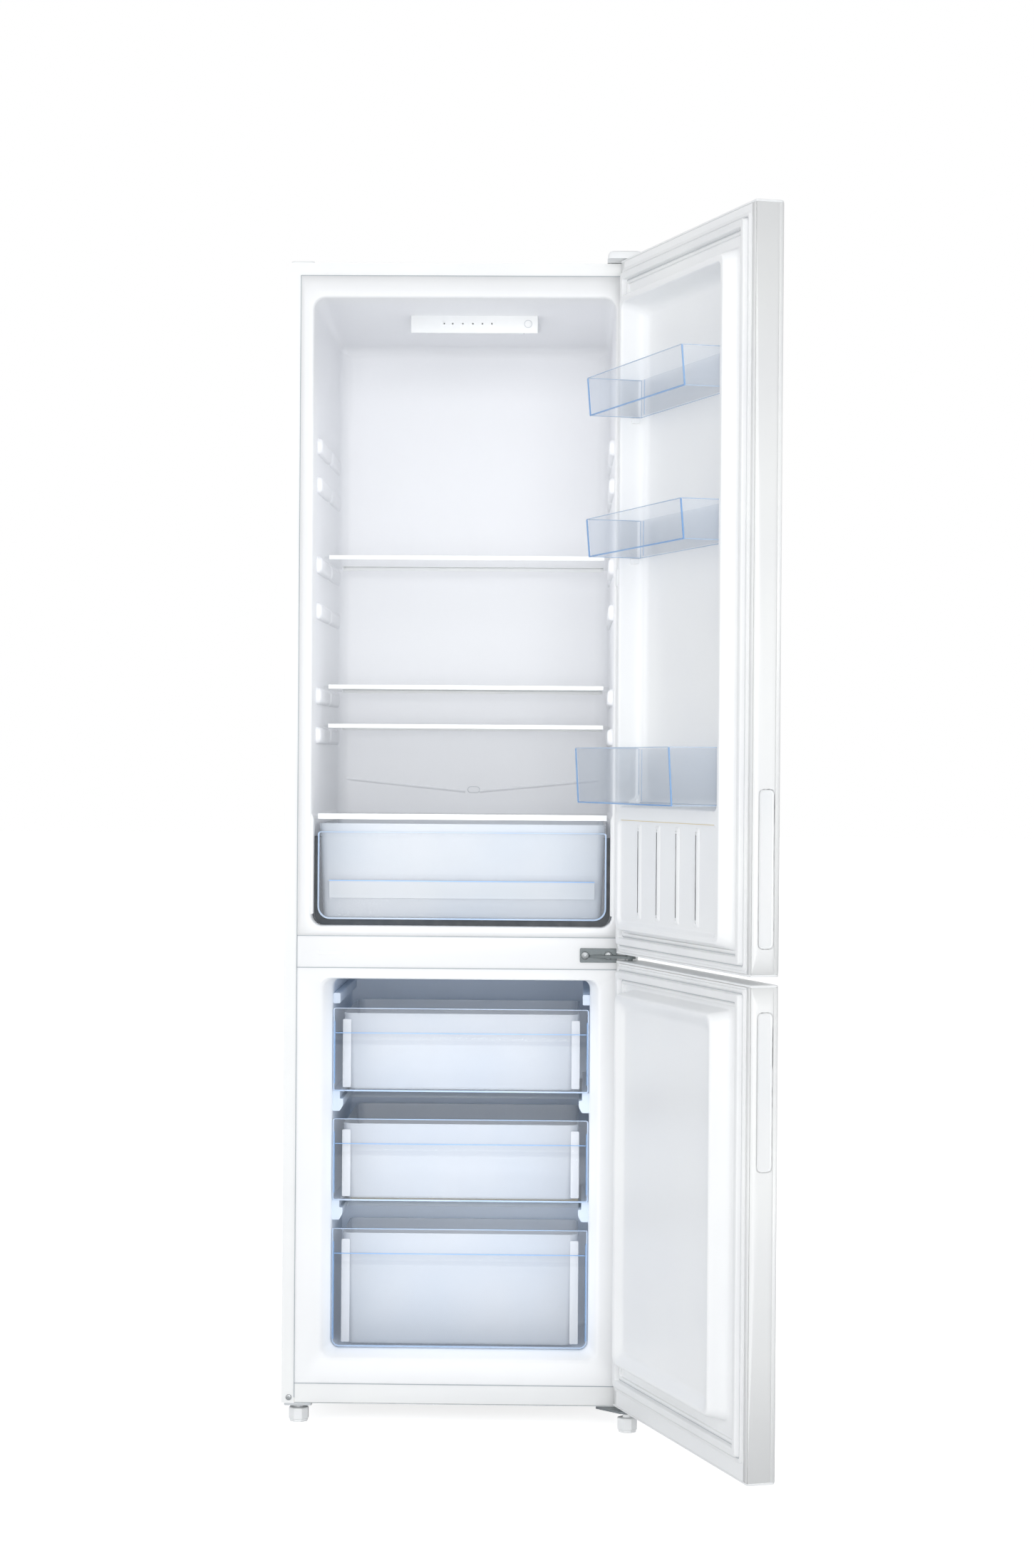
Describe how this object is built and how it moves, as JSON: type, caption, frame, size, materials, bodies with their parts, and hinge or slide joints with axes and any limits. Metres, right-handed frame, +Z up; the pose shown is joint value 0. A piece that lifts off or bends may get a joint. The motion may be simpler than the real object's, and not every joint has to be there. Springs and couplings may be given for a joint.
{
  "type": "bottom-freezer refrigerator",
  "caption": "Upright refrigerator with the freezer below, two right-hinged doors standing open, glass shelves, drawers and clear door racks.",
  "frame": {"origin": "on the floor, under the middle of the bounding box with both doors at their rest angle of 109 degrees", "axes": "+Z up, +Y from the open front towards the rear panel, +X to the right as seen from the front"},
  "size_m": [0.7266, 1.0412, 1.8],
  "materials": {
    "white_steel": "gloss",
    "foam": "matte",
    "liner_plastic": "satin",
    "white_plastic": "satin",
    "zinc_steel": "satin",
    "gasket_rubber": "matte",
    "clear_plastic": "gloss",
    "shelf_glass": "gloss",
    "black_steel": "satin",
    "dark_plastic": "matte",
    "copper": "satin",
    "lens_plastic": "satin"
  },
  "bodies": {
    "cabinet": {"base_pan": "zinc_steel", "base_trim": "white_steel", "beam_cover": "liner_plastic", "bottom_hinge": "zinc_steel", "cabinet_foam": "foam", "cabinet_wrapper": "white_steel", "compressor": "black_steel", "control_box": "white_plastic", "discharge_pipe": "copper", "drain_tube": "white_plastic", "drip_tray": "dark_plastic", "freezer_liner": "liner_plastic", "freezer_plate_1": "shelf_glass", "freezer_plate_2": "shelf_glass", "fridge_liner": "liner_plastic", "lamp_lens": "lens_plastic", "middle_hinge": "zinc_steel", "rear_panel": "white_steel", "spare_hinge_cap": "white_plastic", "suction_pipe": "copper", "terminal_box": "dark_plastic", "top_hinge": "zinc_steel", "top_hinge_cover": "white_plastic"},
    "upper_door": {"upper_door_skin": "white_steel", "upper_door_foam": "foam", "upper_door_liner": "liner_plastic", "upper_door_top_cap": "white_plastic", "upper_door_bottom_cap": "white_plastic", "upper_door_grip": "white_plastic", "upper_door_gasket": "gasket_rubber"},
    "lower_door": {"lower_door_skin": "white_steel", "lower_door_foam": "foam", "lower_door_liner": "liner_plastic", "lower_door_top_cap": "white_plastic", "lower_door_bottom_cap": "white_plastic", "lower_door_grip": "white_plastic", "lower_door_gasket": "gasket_rubber"},
    "shelf_1": {"glass_shelf_1": "shelf_glass", "shelf_front_trim_1": "white_plastic", "shelf_rear_trim_1": "white_plastic"},
    "drawer_1": {"freezer_drawer_1": "clear_plastic"},
    "shelf_2": {"glass_shelf_2": "shelf_glass", "shelf_front_trim_2": "white_plastic", "shelf_rear_trim_2": "white_plastic"},
    "drawer_2": {"freezer_drawer_2": "clear_plastic"},
    "shelf_3": {"glass_shelf_3": "shelf_glass", "shelf_front_trim_3": "white_plastic", "shelf_rear_trim_3": "white_plastic"},
    "drawer_3": {"freezer_drawer_3": "clear_plastic"},
    "crisper_cover": {"crisper_cover_glass": "shelf_glass", "crisper_cover_trim": "white_plastic"},
    "crisper": {"crisper_drawer": "clear_plastic"},
    "top_rack_body": {"top_rack": "clear_plastic"},
    "middle_rack_body": {"middle_rack": "clear_plastic"},
    "bottle_rack_body": {"bottle_rack": "clear_plastic"},
    "button": {"control_button": "white_plastic"},
    "left_foot_body": {"left_foot": "white_plastic"},
    "right_foot_body": {"right_foot": "white_plastic"},
    "left_roller_body": {"left_roller": "dark_plastic"},
    "right_roller_body": {"right_roller": "dark_plastic"}
  },
  "joints": [
    {"name": "upper_door_hinge", "type": "hinge", "parent": "cabinet", "child": "upper_door", "pos_m": [0.16886, -0.01043, 0.73], "axis": [0, 0, 1], "range_deg": [-109, 11]},
    {"name": "lower_door_hinge", "type": "hinge", "parent": "cabinet", "child": "lower_door", "pos_m": [0.16886, -0.01043, 0.038], "axis": [0, 0, 1], "range_deg": [-109, 11]},
    {"name": "shelf_1_slide", "type": "slide", "parent": "cabinet", "child": "shelf_1", "axis": [0, -1, 0], "range_m": [0, 0.2]},
    {"name": "shelf_2_slide", "type": "slide", "parent": "cabinet", "child": "shelf_2", "axis": [0, -1, 0], "range_m": [0, 0.2]},
    {"name": "shelf_3_slide", "type": "slide", "parent": "cabinet", "child": "shelf_3", "axis": [0, -1, 0], "range_m": [0, 0.2]},
    {"name": "crisper_cover_slide", "type": "slide", "parent": "cabinet", "child": "crisper_cover", "axis": [0, -1, 0], "range_m": [0, 0.15]},
    {"name": "crisper_slide", "type": "slide", "parent": "cabinet", "child": "crisper", "axis": [0, -1, 0], "range_m": [0, 0.3]},
    {"name": "drawer_1_slide", "type": "slide", "parent": "cabinet", "child": "drawer_1", "axis": [0, -1, 0], "range_m": [0, 0.28]},
    {"name": "drawer_2_slide", "type": "slide", "parent": "cabinet", "child": "drawer_2", "axis": [0, -1, 0], "range_m": [0, 0.28]},
    {"name": "drawer_3_slide", "type": "slide", "parent": "cabinet", "child": "drawer_3", "axis": [0, -1, 0], "range_m": [0, 0.16]},
    {"name": "top_rack_lift", "type": "slide", "parent": "upper_door", "child": "top_rack_body", "axis": [0, 0, 1], "range_m": [0, 0.02]},
    {"name": "middle_rack_lift", "type": "slide", "parent": "upper_door", "child": "middle_rack_body", "axis": [0, 0, 1], "range_m": [0, 0.02]},
    {"name": "bottle_rack_lift", "type": "slide", "parent": "upper_door", "child": "bottle_rack_body", "axis": [0, 0, 1], "range_m": [0, 0.02]},
    {"name": "button_press", "type": "slide", "parent": "cabinet", "child": "button", "axis": [0, 1, 0], "range_m": [0, 0.001], "stiffness_N_per_m": 200},
    {"name": "left_foot_turn", "type": "hinge", "parent": "cabinet", "child": "left_foot_body", "pos_m": [-0.33864, 0.04057, 0], "axis": [0, 0, 1], "continuous": true},
    {"name": "right_foot_turn", "type": "hinge", "parent": "cabinet", "child": "right_foot_body", "pos_m": [0.16886, -0.01043, 0], "axis": [0, 0, 1], "continuous": true},
    {"name": "left_roller_spin", "type": "hinge", "parent": "cabinet", "child": "left_roller_body", "pos_m": [-0.32364, 0.48857, 0.014], "axis": [1, 0, 0], "continuous": true},
    {"name": "right_roller_spin", "type": "hinge", "parent": "cabinet", "child": "right_roller_body", "pos_m": [0.14036, 0.48857, 0.014], "axis": [1, 0, 0], "continuous": true}
  ]
}
